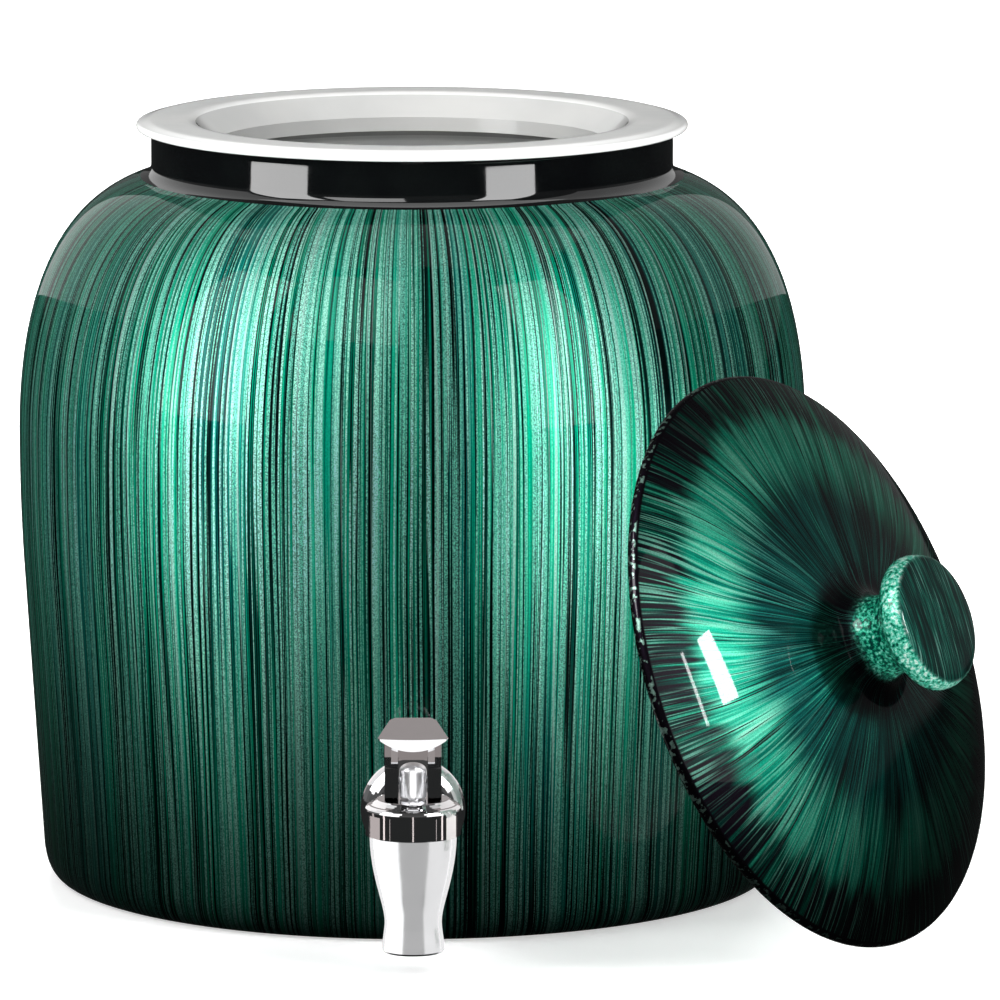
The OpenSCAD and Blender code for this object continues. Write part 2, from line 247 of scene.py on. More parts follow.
def light_ware(floor, crock, chrome):
    """The softboxes and walls that the crock and the chrome mirror, and the floor's own light."""
    ware = [floor, crock] + chrome
    add_softbox("softbox_left", azimuth=-55.8, distance=STUDIO, low=0.188, high=0.74, width=0.235,
                luminance=6.2, only=ware)
    add_softbox("softbox_right", azimuth=40.0, distance=STUDIO, low=0.188, high=0.74, width=0.185,
                luminance=6.3, only=[crock] + chrome, shaded_by=[crock])
    add_softbox("floor_right", azimuth=41.2, distance=STUDIO, low=0.15, high=0.80, width=0.216,
                luminance=9.0, only=[floor])
    add_softbox("glaze_fill", azimuth=-20, distance=STUDIO, low=0.40, high=0.90, width=0.30,
                luminance=3.2, only=[crock])
    add_side_wall("wall_left", side=-1, luminance=0.75, only=ware)
    add_side_wall("wall_right", side=1, luminance=0.50, only=ware)
    add_panel("floor_back", place=(0, 1.5, 1.3), turn=(-55.5, 0, 0), width=1.0, height=0.5,
              luminance=29.0, only=[floor])
    add_panel("rim_light", place=(0, 0, 2.0), turn=(0, 0, 0), width=2.0, height=1.5,
              luminance=1.3, only=[crock])


def light_lid(floor, lid):
    """The highlights on the lid, whose softboxes stand round an axis beside the crock."""
    beside = (0.10, -0.19)
    add_softbox("lid_strip", azimuth=79.5, distance=1.00, low=0.42, high=0.64, width=0.09,
                luminance=50.0, only=[lid, floor], centre=beside)
    add_softbox("lid_edge_strip", azimuth=69.5, distance=1.00, low=0.38, high=0.64, width=0.02,
                luminance=30.0, only=[lid], centre=beside)
    add_softbox("lid_fill", azimuth=62.0, distance=1.00, low=0.20, high=1.20, width=0.70,
                luminance=0.9, only=[lid], centre=beside)
    add_panel("knob_light", place=(-0.40, -0.60, 0.80), turn=(46, 0, -51), width=0.5, height=0.5,
              luminance=12.0, only=[lid], shaded_by=[lid])


def light_faucet(spout, bonnet, lever, stem, chrome):
    """The bright and dark bands on the chrome. Most parts mirror cards of their own."""
    top_parts = [piece for piece in chrome if piece not in spout]
    add_softbox("spout_left", azimuth=-84, distance=CLOSE, low=-0.40, high=0.30, width=0.78,
                luminance=1.3, only=spout, centre=SPOUT)
    add_softbox("spout_right", azimuth=82, distance=CLOSE, low=-0.40, high=0.30, width=0.70,
                luminance=0.85, only=spout, centre=SPOUT)
    add_softbox("spout_front", azimuth=0, distance=CLOSE, low=-0.60, high=0.08, width=0.67,
                luminance=0.46, only=spout, centre=SPOUT)
    add_softbox("spout_back", azimuth=180, distance=CLOSE, low=-0.40, high=0.30, width=1.30,
                luminance=0.9, only=spout, centre=SPOUT, shaded_by=spout)
    for name, azimuth, luminance in (("high_left", -60, 1.6), ("high_right", 60, 1.4)):
        add_softbox(name, azimuth, distance=CLOSE, low=0.14, high=0.60, width=0.40,
                    luminance=luminance, only=top_parts, centre=SPOUT)
    add_softbox("brown_card", azimuth=180, distance=0.80, low=0.08, high=1.40, width=2.0,
                luminance=0.23, only=top_parts, centre=SPOUT, shaded_by=chrome, tint=BROWN)
    add_softbox("web_card", azimuth=0, distance=0.05, low=0.0645, high=0.10, width=0.06,
                luminance=0.26, only=lever, centre=SPOUT, tint=BROWN)
    add_softbox("paddle_glint", azimuth=0, distance=CLOSE, low=-0.60, high=-0.15, width=0.40,
                luminance=1.2, only=lever, centre=SPOUT)
    add_softbox("stem_front", azimuth=0, distance=CLOSE, low=-0.20, high=0.30, width=0.30,
                luminance=3.0, only=stem, centre=SPOUT)
    for name, azimuth, width, luminance in (
            ("skirt_front", 0, 0.02, 0.9), ("skirt_left", -72, 0.03, 1.2), ("skirt_right", 72, 0.03, 1.2),
            ("skirt_far_left", -108, 0.05, 0.5), ("skirt_far_right", 108, 0.05, 0.5)):
        add_softbox(name, azimuth, distance=CLOSE, low=-0.30, high=0.06, width=width,
                    luminance=luminance, only=bonnet, centre=SPOUT, shaded_by=bonnet, tint=BROWN)


def add_lights(floor, crock, lid):
    names = ("faucet_body", "wall_escutcheon", "bonnet", "lever_handle", "valve_stem")
    chrome = [nodes[name] for name in names]
    light_ware(floor, crock, chrome)
    light_lid(floor, lid)
    light_faucet([nodes["faucet_body"]], [nodes["bonnet"]], [nodes["lever_handle"]],
                 [nodes["valve_stem"]], chrome)


# ---------------------------------------------------------------- brush strokes

DEEP = srgb(3, 17, 17)
PINE = srgb(4, 52, 46)
EMERALD = srgb(2, 158, 122)
JADE = srgb(60, 178, 146)
MINT = srgb(112, 202, 180)
PALE = srgb(156, 228, 208)
ASH = srgb(158, 206, 194)
PLUM = srgb(22, 16, 26)
PIGMENT_EDGE = (0.05, 0.30, 0.25, 1)    # what the metallic pigment reflects at a grazing angle


def turned_about(g, along, amount, across, length, offset):
    """The direction round the axis, turned a little by slow noise, so that strokes wander and cross."""
    scaled = g.vector("MULTIPLY", along, (across, across, length))
    probe = g.vector("ADD", scaled, (offset, offset * 0.7, offset * 1.3))
    turn = g.math("MULTIPLY", g.math("SUBTRACT", g.noise(probe), 0.5), amount)
    return g.add("VectorRotate", {"Vector": along, "Angle": turn}, rotation_type="Z_AXIS")


def stroke_noise(g, vector, across, length, offset):
    """Noise that is fine across the strokes and slow along them. offset tells one layer from another."""
    scaled = g.vector("MULTIPLY", vector, (across, across, length))
    probe = g.vector("ADD", scaled, (offset, -offset, offset * 0.37))
    return g.noise(probe, detail=1.0)


def strokes(g, vector, across, length, low, high, offset):
    """1 on a stroke and 0 beside it. The higher low and high are, the fewer strokes there are."""
    return g.spread(stroke_noise(g, vector, across, length, offset), low, high)


def blended(g, *shares):
    """Sum of (socket, share) pairs."""
    total = None
    for socket, share in shares:
        part = g.math("MULTIPLY", socket, share)
        total = part if total is None else g.math("ADD", total, part)
    return total


def facing(g, around, azimuth, half_width):
    """1 in a narrow upright band of the side that faces azimuth, 0 outside it."""
    ahead, beside = direction(azimuth), direction(azimuth + 90)
    off = g.math("ABSOLUTE", g.vector("DOT_PRODUCT", around, beside, out="Value"))
    edge = math.sin(math.radians(half_width))
    band = g.spread(off, edge, edge * 0.3)
    front = g.math("GREATER_THAN", g.vector("DOT_PRODUCT", around, ahead, out="Value"), 0.0)
    return g.math("MULTIPLY", band, front)


# ---------------------------------------------------------------- glazes of the crock

def body_colour(g, slow, quick, lines, tone, flake):
    """Two greens in wide patches, with dark and pale strokes over them."""
    green = g.ramp(
        tone, (0.0, DEEP), (0.14, PINE), (0.32, srgb(2, 98, 78)), (0.52, EMERALD),
        (0.78, srgb(4, 176, 138)), (1.0, srgb(52, 190, 158)))
    blue = g.ramp(
        tone, (0.0, DEEP), (0.14, srgb(3, 44, 45)), (0.32, srgb(5, 86, 82)), (0.52, srgb(8, 126, 112)),
        (0.78, srgb(34, 148, 134)), (1.0, srgb(96, 176, 162)))
    patches = strokes(g, slow, across=6.0, length=2.0, low=0.46, high=0.60, offset=31.0)
    colour = g.mix(patches, green, blue)

    broad_dark = strokes(g, slow, across=12.0, length=2.5, low=0.66, high=0.74, offset=44.0)
    colour = g.mix(broad_dark, colour, DEEP)
    gaps = g.math("MAXIMUM", facing(g, slow, -16, 0.9), facing(g, slow, 2.4, 1.5))
    colour = g.mix(g.math("MULTIPLY", gaps, g.spread(lines, 0.40, 0.58, 1.0, 0.4)), colour, DEEP)
    fine_dark = strokes(g, quick, across=140.0, length=5.0, low=0.55, high=0.61, offset=12.9)
    colour = g.mix(fine_dark, colour, DEEP)

    grain = g.spread(flake, 0.38, 0.60, 0.40, 1.0)
    mint = strokes(g, quick, across=180.0, length=3.5, low=0.52, high=0.58, offset=21.3)
    colour = g.mix(g.math("MULTIPLY", mint, grain), colour, MINT)
    pale = strokes(g, quick, across=130.0, length=4.0, low=0.58, high=0.63, offset=26.1)
    colour = g.mix(g.math("MULTIPLY", pale, grain), colour, PALE)
    ash = strokes(g, slow, across=118.0, length=3.0, low=0.65, high=0.71, offset=15.5)
    return g.mix(g.math("MULTIPLY", ash, 0.8), colour, ASH)


def body_glaze():
    """Brushed green glaze. The strokes run from the neck down to the foot."""
    material, g = new_material("body_glaze")
    place = g.object_place()
    height = g.add("SeparateXYZ", {0: place}, out="Z")
    around = g.vector("NORMALIZE", g.vector("MULTIPLY", place, (1, 1, 0)))
    along = g.vector("ADD", around, g.add("CombineXYZ", {2: height}))
    slow = turned_about(g, along, amount=0.030, across=2.2, length=5.0, offset=0.0)
    quick = turned_about(g, along, amount=0.010, across=9.0, length=12.0, offset=5.3)

    wide = g.noise(g.vector("MULTIPLY", slow, (5.0, 5.0, 2.5)), detail=2.0)
    bands = stroke_noise(g, slow, across=16.0, length=3.0, offset=1.7)
    lines = stroke_noise(g, quick, across=74.0, length=4.0, offset=3.1)
    hairs = stroke_noise(g, quick, across=195.0, length=5.0, offset=9.4)
    tone = blended(
        g, (wide, 0.45), (bands, 0.55), (lines, 1.00), (hairs, 1.30),
        (facing(g, slow, azimuth=-10, half_width=5.5), 0.08),
        (facing(g, slow, azimuth=4, half_width=6), -0.10))
    tone = g.spread(tone, 1.42, 2.03, smooth=False)
    flake = g.noise(place, scale=2400.0, detail=1.0)
    colour = body_colour(g, slow, quick, lines, tone, flake)

    # Painted light in the colour: darker towards the foot, brightest about 0.15 m up where the highlight
    # band falls, and darker again up the shoulder towards the neck. The flake term is the glaze's own
    # grain.
    painted_light_to_foot = g.spread(height, 0.0, 0.15, 0.18, 1.40)
    painted_shade_to_neck = g.spread(height, 0.158, 0.245, 1.0, 0.42)
    shade = g.math("MULTIPLY", painted_light_to_foot, painted_shade_to_neck)
    shade = g.math("MULTIPLY", g.spread(flake, 0.3, 0.7, 0.78, 1.22), shade)
    colour = g.mix(1.0, colour, g.grey(shade), blend="MULTIPLY")
    ridges = g.noise(g.vector("MULTIPLY", quick, (140.0, 140.0, 6.0)), detail=2.0)
    finish_material(g, {
        "Base Color": colour, "Metallic": 1.0, "Roughness": g.spread(flake, 0.3, 0.7, 0.49, 0.57),
        "Normal": g.bump(ridges, 0.30, 0.0003), "Specular Tint": PIGMENT_EDGE,
        "Anisotropic": 0.45, "Anisotropic Rotation": 0.25,
        "Coat Weight": 1.0, "Coat Roughness": 0.02, "Coat IOR": 1.2})
    return material


def neck_glaze():
    """Smooth black glaze with a faint ripple."""
    material, g = new_material("neck_glaze")
    place = g.object_place()
    cloud = g.noise(place, scale=60.0, detail=3.0)
    ripple = g.noise(place, scale=35.0, detail=1.0)
    finish_material(g, {
        "Base Color": g.mix(g.spread(cloud, 0.3, 0.75), srgb(4, 5, 6), srgb(9, 12, 12)),
        "Roughness": g.spread(cloud, 0.2, 0.8, 0.03, 0.07), "IOR": 1.70,
        "Normal": g.bump(ripple, 0.05, 0.0006)})
    return material


def white_glaze(name, low=240, high=248):
    """Glossy white glaze, faintly clouded between two display greys."""
    material, g = new_material(name)
    place = g.object_place()
    cloud = g.noise(place, scale=18.0, detail=3.0)
    pits = g.noise(place, scale=140.0, detail=2.0)
    finish_material(g, {
        "Base Color": g.mix(g.spread(cloud, 0.3, 0.7), srgb(low, low + 1, low), srgb(high, high, high - 2)),
        "Roughness": g.spread(cloud, 0.2, 0.8, 0.10, 0.16), "Normal": g.bump(pits, 0.04, 0.0005),
        "IOR": 1.38, "Coat Weight": 0.2, "Coat Roughness": 0.03})
    return material


def bare_foot():
    """Unglazed foot ring."""
    material, g = new_material("bare_foot")
    grain = g.noise(g.object_place(), scale=900.0, detail=3.0)
    finish_material(g, {
        "Base Color": g.mix(grain, srgb(205, 198, 186), srgb(232, 226, 216)), "Roughness": 0.75,
        "Normal": g.bump(grain, 0.3, 0.0003)})
    return material


# ---------------------------------------------------------------- turned shapes, in mm

SEGMENTS = 256


def bezier(a, b, c, d, count):
    """Points on a cubic curve, both ends included."""
    t = np.linspace(0, 1, count + 1)[:, None]
    a, b, c, d = (np.array(p, float) for p in (a, b, c, d))
    return (1 - t) ** 3 * a + 3 * t * (1 - t) ** 2 * b + 3 * t ** 2 * (1 - t) * c + t ** 3 * d


def arc(centre, radius, start, end, count):
    """Points on an arc from start to end, in degrees."""
    t = np.radians(np.linspace(start, end, count + 1))
    return np.stack([centre[0] + radius * np.cos(t), centre[1] + radius * np.sin(t)], 1)


def line(a, b, count=1):
    return np.linspace(a, b, count + 1)


def join(*parts):
    """One list of points from stretches that share their end points."""
    out = [tuple(parts[0][0])]
    for part in parts:
        for point in part:
            if math.dist(point, out[-1]) > 1e-4:
                out.append(tuple(point))
    return out


def inset(path, depth):
    """The path moved to its left by depth, by the normal at each point."""
    points = np.array(path)
    step = np.gradient(points, axis=0)
    normal = np.stack([-step[:, 1], step[:, 0]], 1)
    normal /= np.linalg.norm(normal, axis=1)[:, None]
    return [tuple(p) for p in points + normal * depth]


def ring_of_points(mesh, radius, height):
    """One ring of vertices, or a single one on the axis."""
    if radius < 1e-6:
        return [mesh.verts.new((0, 0, height / 1000))]
    turn = [2 * math.pi * (i + 0.5) / SEGMENTS for i in range(SEGMENTS)]
    r = radius / 1000
    return [mesh.verts.new((r * math.cos(t), r * math.sin(t), height / 1000)) for t in turn]


def turned(name, outline, materials, zone, place=Matrix.Identity(4)):
    """A body turned round Z, whose outline starts and ends on the axis.

    outline is a list of (radius, height). zone(r, z, i) gives the number, in materials, of the
    material of the faces after point i, whose middle is at (r, z).
    """
    mesh = bmesh.new()
    rings = [ring_of_points(mesh, radius, height) for radius, height in outline]
    for i in range(len(rings) - 1):
        a, b = rings[i], rings[i + 1]
        r = (outline[i][0] + outline[i + 1][0]) / 2
        z = (outline[i][1] + outline[i + 1][1]) / 2
        for k in range(SEGMENTS):
            m = (k + 1) % SEGMENTS
            if len(a) == 1:
                corners = (a[0], b[m], b[k])
            elif len(b) == 1:
                corners = (a[k], a[m], b[0])
            else:
                corners = (a[k], a[m], b[m], b[k])
            face = mesh.faces.new(corners)
            face.smooth = True
            face.material_index = zone(r, z, i)
    mesh.transform(place)
    bmesh.ops.recalc_face_normals(mesh, faces=mesh.faces)
    data = bpy.data.meshes.new(name)
    mesh.to_mesh(data)
    mesh.free()
    for material in materials:
        data.materials.append(material)
    data.set_sharp_from_angle(angle=math.radians(38))
    piece = bpy.data.objects.new(name, data)
    scene.collection.objects.link(piece)
    return piece


# ---------------------------------------------------------------- crock, in mm

FOOT_R = 123.5
FOOT_IN_R = 112.5
FOOT_H = 2.5
HEEL = (131.7, 13)
TAPER_TOP = (138.1, 112)        # end of the straight side
BELLY = (139.5, 160)            # widest point
NECK_FOOT = (97.2, 250)
SHOULDER_PULL = 32
SHOULDER_SLOPE = 18             # degrees, where the shoulder meets the neck
NECK_R = 92.3
NECK_WAIST_Z = 255
NECK_LINE = 250.6               # where the green glaze ends and the black begins
RIM_LINE = 266.9                # where the black glaze ends and the white begins
FLARE_Z = 264.6                 # where the neck starts to flare
LIP = (96.15, 268.55)           # centre of the flange's rounded edge
LIP_R = 1.35
CROCK_H = 270.8
FLAT_IN_R = 80                  # inner edge of the flange's flat
FUNNEL = (76.3, 269.6)          # outer end of the slope into the throat
FUNNEL_LINE_R = 76.5            # within this radius the white glaze is the greyer one: painted shade inside the opening
THROAT_R = 69.5
THROAT_TOP = 262.5
THROAT_END = 257.5
CEILING = (84.3, 252.5)         # outer end of the neck's sloping underside
WALL_T = 7
WALL_START = (132.5, 25)        # outside point from which the wall's inside follows the outside
FLOOR_Z = 9
FLOOR_R = 107.5


def crock_side():
    """Outside of the wall above its straight part."""
    taper = (TAPER_TOP[0] - HEEL[0]) / (TAPER_TOP[1] - HEEL[1])
    slope = math.radians(SHOULDER_SLOPE)
    before_neck = (NECK_FOOT[0] + math.cos(slope) * SHOULDER_PULL,
                   NECK_FOOT[1] - math.sin(slope) * SHOULDER_PULL)
    belly = bezier(TAPER_TOP, (TAPER_TOP[0] + 16 * taper, TAPER_TOP[1] + 16),
                   (BELLY[0], BELLY[1] - 16), BELLY, 20)
    shoulder = bezier(BELLY, (BELLY[0], BELLY[1] + 44), before_neck, NECK_FOOT, 44)
    return join(belly, shoulder)


def crock_foot():
    """Recess under the crock, foot ring, heel and the straight part of the side."""
    return join(
        line((0, FOOT_H), (FOOT_IN_R - 1.5, FOOT_H), 8), line((FOOT_IN_R - 1.5, FOOT_H), (FOOT_IN_R, 0)),
        line((FOOT_IN_R, 0), (FOOT_R, 0), 2),
        bezier((FOOT_R, 0), (FOOT_R + 5, 0), (HEEL[0] - 0.5, 5), HEEL, 16), line(HEEL, TAPER_TOP, 40))


def crock_neck():
    """Neck, flange, funnel and throat."""
    waist, flare = (NECK_R, NECK_WAIST_Z), (NECK_R, FLARE_Z)
    under_lip, over_lip = (LIP[0], LIP[1] - LIP_R), (LIP[0], LIP[1] + LIP_R)
    flat_out, flat_in = (NECK_R, CROCK_H), (FLAT_IN_R, CROCK_H)
    throat = (THROAT_R, THROAT_TOP)
    return join(
        bezier(NECK_FOOT, (96.0, 250.9), (NECK_R, 251.4), waist, 14), line(waist, flare, 3),
        bezier(flare, (NECK_R, 266.4), (93.3, under_lip[1]), under_lip, 10), arc(LIP, LIP_R, -90, 90, 12),
        bezier(over_lip, (94.8, 270.1), (93.6, CROCK_H), flat_out, 6), line(flat_out, flat_in, 6),
        bezier(flat_in, (78.5, 270.7), (77.1, 270.3), FUNNEL, 8),
        bezier(FUNNEL, (75.5, 268.4), (70.2, 263.4), throat, 8), line(throat, (THROAT_R, THROAT_END), 3))


def crock_inside(side):
    """Inside from the throat down to the middle of the floor."""
    wall = inset(join(line(WALL_START, TAPER_TOP, 24), side), WALL_T)
    wall = [point for point in wall if point[0] > NECK_R + 2]
    low, high = wall[0], wall[-1]
    return join(
        line((THROAT_R, THROAT_END), CEILING, 4), bezier(CEILING, (85.5, 252), (88, 247.5), high, 8),
        wall[::-1], bezier(low, (low[0] - 0.8, low[1] - 10), (120.5, FLOOR_Z), (FLOOR_R, FLOOR_Z), 12),
        line((FLOOR_R, FLOOR_Z), (0, FLOOR_Z), 10))


def build_crock():
    side = crock_side()
    outline = join(crock_foot(), side, crock_neck(), crock_inside(side))
    in_flange = [i for i, point in enumerate(outline) if point[1] > 265]
    lip_at = max(in_flange, key=lambda i: outline[i][0])
    body, neck, rim, foot, inside = range(5)

    def zone(r, z, i):
        if z < 0.01:
            return foot
        if i > lip_at and r < FUNNEL_LINE_R:
            return inside
        under_foot = z < FOOT_H + 0.5 and r < FOOT_IN_R + 0.5
        if i > lip_at or z > RIM_LINE or under_foot:
            return rim
        return neck if z > NECK_LINE else body

    # The fifth glaze is a greyer white: painted shade in the funnel and the throat, inside the opening.
    materials = [body_glaze(), neck_glaze(), white_glaze("white_glaze"), bare_foot(),
                 white_glaze("throat_glaze_painted_shade", low=190, high=204)]
    crock = turned("crock_ware", outline, materials, zone)
    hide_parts("crock")
    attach(crock, "dispenser")
    crock.visible_glossy = False
    return crock


# ---------------------------------------------------------------- lid, in mm

LID_R = 102
EDGE_R = 2.5                    # rounding of the lid's edge
EDGE = (LID_R - EDGE_R, EDGE_R)
DOME_H = 27
DOME_FOOT = (24, DOME_H)        # where the knob grows out of the dome
KNOB_NECK = (14.2, 38)
KNOB_UNDER = (21.5, 47.8)
KNOB_TOP = (22.4, 56.5)
KNOB_H = 58.5
RING_IN_R = 60                  # locating ring under the dome
RING_R = 66
RING_END = -9
SEAT_IN_R = 86                  # inner edge of the face that rests on the crock's rim


def lid_outline():
    """Outline of the lid from the middle of its underside to the middle of the knob's top."""
    tilt = math.radians(60)
    dome_start = (EDGE[0] + EDGE_R * math.cos(tilt), EDGE[1] + EDGE_R * math.sin(tilt))
    leaving = (dome_start[0] - 19 * math.sin(tilt), dome_start[1] + 19 * math.cos(tilt))
    slope = math.radians(9)
    arriving = (DOME_FOOT[0] + 36 * math.cos(slope), DOME_FOOT[1] - 36 * math.sin(slope))
    under = join(
        bezier((0, 20.5), (15, 20.4), (42, 18.6), (58.5, 13.2), 12),
        bezier((58.5, 13.2), (RING_IN_R, 12.4), (RING_IN_R, 11.5), (RING_IN_R, 9), 4),
        line((RING_IN_R, 9), (RING_IN_R, RING_END + 1), 3),
        arc((RING_IN_R + 1, RING_END + 1), 1, 180, 270, 4),
        line((RING_IN_R + 1, RING_END), (RING_R - 1.5, RING_END)),
        arc((RING_R - 1.5, RING_END + 1.5), 1.5, 270, 360, 4),
        line((RING_R, RING_END + 1.5), (RING_R, 9.5), 3),
        bezier((RING_R, 9.5), (RING_R, 11), (72, 8.6), (81, 5.5), 8),
        bezier((81, 5.5), (84, 4.4), (85.4, 2.2), (SEAT_IN_R, 0), 5), line((SEAT_IN_R, 0), (EDGE[0], 0), 3))
    top = join(
        arc(EDGE, EDGE_R, -90, 60, 14), bezier(dome_start, leaving, arriving, DOME_FOOT, 44),
        bezier(DOME_FOOT, (17, 28), (KNOB_NECK[0], 32), KNOB_NECK, 12),
        bezier(KNOB_NECK, (KNOB_NECK[0], 44), (17.5, 46.5), KNOB_UNDER, 12),
        bezier(KNOB_UNDER, (24.5, 48.9), (24.5, 53), KNOB_TOP, 14),
        bezier(KNOB_TOP, (21, 57.7), (10, KNOB_H), (0, KNOB_H), 14))
    return join(under, top)


def dome_colour(g, swirl, comb, lines, radius):
    """Strokes that run out from the knob: dark inner zone, bright shoulder zone, dark rim zone."""
    wide = g.noise(g.vector("MULTIPLY", swirl, (2.6, 2.6, 14.0)), detail=2.0)
    bands = stroke_noise(g, comb, across=11.0, length=16.0, offset=1.1)
    hairs = stroke_noise(g, comb, across=130.0, length=30.0, offset=8.8)
    tone = blended(g, (wide, 0.7), (bands, 0.6), (lines, 0.9), (hairs, 0.7))
    tone = g.spread(tone, 1.05, 1.85, smooth=False)
    inner = g.ramp(
        tone, (0.0, DEEP), (0.35, srgb(5, 38, 37)), (0.6, srgb(9, 74, 70)), (0.85, srgb(24, 110, 100)),
        (1.0, JADE))
    shoulder = g.ramp(
        tone, (0.0, srgb(4, 52, 48)), (0.30, srgb(8, 118, 98)), (0.52, srgb(20, 158, 128)),
        (0.74, srgb(84, 192, 162)), (1.0, srgb(130, 206, 180)))
    rim = g.ramp(
        tone, (0.0, PLUM), (0.42, PLUM), (0.62, srgb(8, 56, 50)), (0.80, srgb(14, 108, 86)), (1.0, JADE))

    uneven = g.math("SUBTRACT", stroke_noise(g, comb, across=26.0, length=4.0, offset=52.0), 0.5)
    ragged = g.math("ADD", radius, g.math("MULTIPLY", uneven, 0.020))
    colour = g.mix(g.spread(radius, 0.022, 0.034), PLUM, inner)
    colour = g.mix(g.spread(ragged, 0.052, 0.072), colour, shoulder)
    colour = g.mix(g.spread(ragged, 0.080, 0.089), colour, rim)

    thin = strokes(g, comb, across=120.0, length=22.0, low=0.56, high=0.66, offset=19.0)
    broad = strokes(g, comb, across=62.0, length=20.0, low=0.64, high=0.70, offset=23.0)
    patches = g.noise(g.vector("MULTIPLY", swirl, (4.0, 4.0, 30.0)))
    pale = g.math("MULTIPLY", g.math("MAXIMUM", thin, broad), g.spread(patches, 0.36, 0.56, 0.15, 0.8))
    pale_colour = g.mix(g.spread(radius, 0.05, 0.07), srgb(60, 134, 122), srgb(116, 190, 168))
    colour = g.mix(pale, colour, pale_colour)
    dark = strokes(g, comb, across=85.0, length=24.0, low=0.60, high=0.70, offset=27.0)
    colour = g.mix(dark, colour, PLUM)
    edge = g.spread(radius, 0.1004, 0.1010)
    return g.mix(edge, colour, PLUM)


def knob_colour(g, local, height):
    """Mottled side, paler towards its top edge as worn glaze and as a painted highlight, and straight
    strokes across the top.
    """
    mottle = g.noise(local, scale=800.0, detail=3.0)
    # The side grows paler towards its top edge: worn glaze there, and also a painted highlight on the
    # knob's rim.
    paler_up_worn_and_highlit = g.spread(height, 0.047, 0.054, 0.0, 0.13)
    side = g.ramp(
        g.math("ADD", mottle, paler_up_worn_and_highlit), (0.0, PINE), (0.40, PINE), (0.50, srgb(6, 120, 90)),
        (0.58, JADE), (0.66, MINT), (0.76, srgb(196, 226, 214)))
    grain = g.noise(g.vector("MULTIPLY", local, (60.0, 1500.0, 60.0)), detail=2.0)
    cap = g.ramp(
        grain, (0.0, DEEP), (0.42, DEEP), (0.53, PINE), (0.62, srgb(8, 90, 74)),
        (0.76, srgb(110, 150, 140)))
    return g.mix(g.spread(height, 0.0558, 0.0570), side, cap)


def lid_glaze():
    """Brushed green glaze of the lid, pale along its edge as worn glaze and as a painted highlight, with
    painted shade towards its lower right side.
    """
    material, g = new_material("lid_glaze")
    local = g.add(
        "Mapping", {"Vector": g.object_place(), "Location": LID_CENTRE, "Rotation": LID_TURN},
        vector_type="TEXTURE")
    split = g.add("SeparateXYZ", {0: local}, out=None)
    height = split.outputs["Z"]
    flat = g.vector("MULTIPLY", local, (1, 1, 0))
    radius = g.vector("LENGTH", flat, out="Value")
    along = g.vector("ADD", g.vector("NORMALIZE", flat), g.add("CombineXYZ", {2: radius}))
    swirl = turned_about(g, along, amount=0.34, across=1.3, length=9.0, offset=2.2)
    comb = turned_about(g, swirl, amount=0.06, across=5.0, length=22.0, offset=7.7)
    lines = stroke_noise(g, comb, across=55.0, length=26.0, offset=4.6)

    knob = g.spread(height, 0.030, 0.036)
    colour = g.mix(knob, dome_colour(g, swirl, comb, lines, radius), knob_colour(g, local, height))
    # Pale flecks round the outer edge: glaze worn thin there, and also a painted highlight along the
    # rounded edge.
    edge = g.spread(radius, 0.1012, 0.1016)
    worn_edge_and_highlight = g.math("MULTIPLY", edge, g.spread(g.noise(local, scale=420.0, detail=3.0), 0.54, 0.62))
    colour = g.mix(g.math("MULTIPLY", worn_edge_and_highlight, 0.8), colour, srgb(150, 190, 176))

    flake = g.noise(local, scale=2400.0, detail=1.0)
    # Painted shade: the colour darkens towards local +X and +Y, the lid's lower right side as it leans. The
    # knob is left out, and the flake term is the glaze's own grain.
    painted_shade_side = blended(g, (split.outputs["X"], 1.25), (split.outputs["Y"], 0.9))
    shade = g.math("MAXIMUM", g.spread(painted_shade_side, 0.01, 0.12, 1.0, 0.22), knob)
    shade = g.math("MULTIPLY", g.spread(flake, 0.3, 0.7, 0.76, 1.24), shade)
    colour = g.mix(1.0, colour, g.grey(shade), blend="MULTIPLY")
    finish_material(g, {
        "Base Color": colour, "Metallic": g.spread(knob, 0.0, 1.0, 1.0, 0.25),
        "Roughness": g.spread(flake, 0.3, 0.7, 0.42, 0.50), "Normal": g.bump(lines, 0.25, 0.0003),
        "Specular Tint": PIGMENT_EDGE, "Coat Weight": 1.0, "Coat Roughness": 0.03, "Coat IOR": 1.3})
    return material


def build_lid():
    lean = Matrix.Rotation(LID_TURN[2], 4, "Z") @ Matrix.Rotation(LID_TURN[1], 4, "Y")
    outline = lid_outline()
    first_top = next(i for i, point in enumerate(outline) if point[0] >= EDGE[0])
    glazed, underside = range(2)

    def zone(r, z, i):
        return glazed if i >= first_top else underside

    materials = [lid_glaze(), white_glaze("lid_underside")]
    lid = turned("lid_ware", outline, materials, zone, place=Matrix.Translation(LID_CENTRE) @ lean)
    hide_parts("lid")
    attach(lid, "lid")
    return lid


# ---------------------------------------------------------------- faucet

CHROME = (0.90, 0.90, 0.91, 1)
STEEL = (0.62, 0.63, 0.65, 1)


def metal(name, tint, rough, wear=0.03):
    """Plated or drawn metal with faint handling marks."""
    material, g = new_material(name)
    marks = g.noise(g.object_place(), scale=220.0, detail=3.0)
    shade = tuple(v * 0.94 for v in tint[:3]) + (1.0,)
    finish_material(g, {
        "Base Color": g.mix(marks, shade, tint), "Metallic": 1.0,
        "Roughness": g.spread(marks, 0.3, 0.75, rough, rough + wear),
        "Normal": g.bump(marks, 0.02, 0.0002)})
    return material


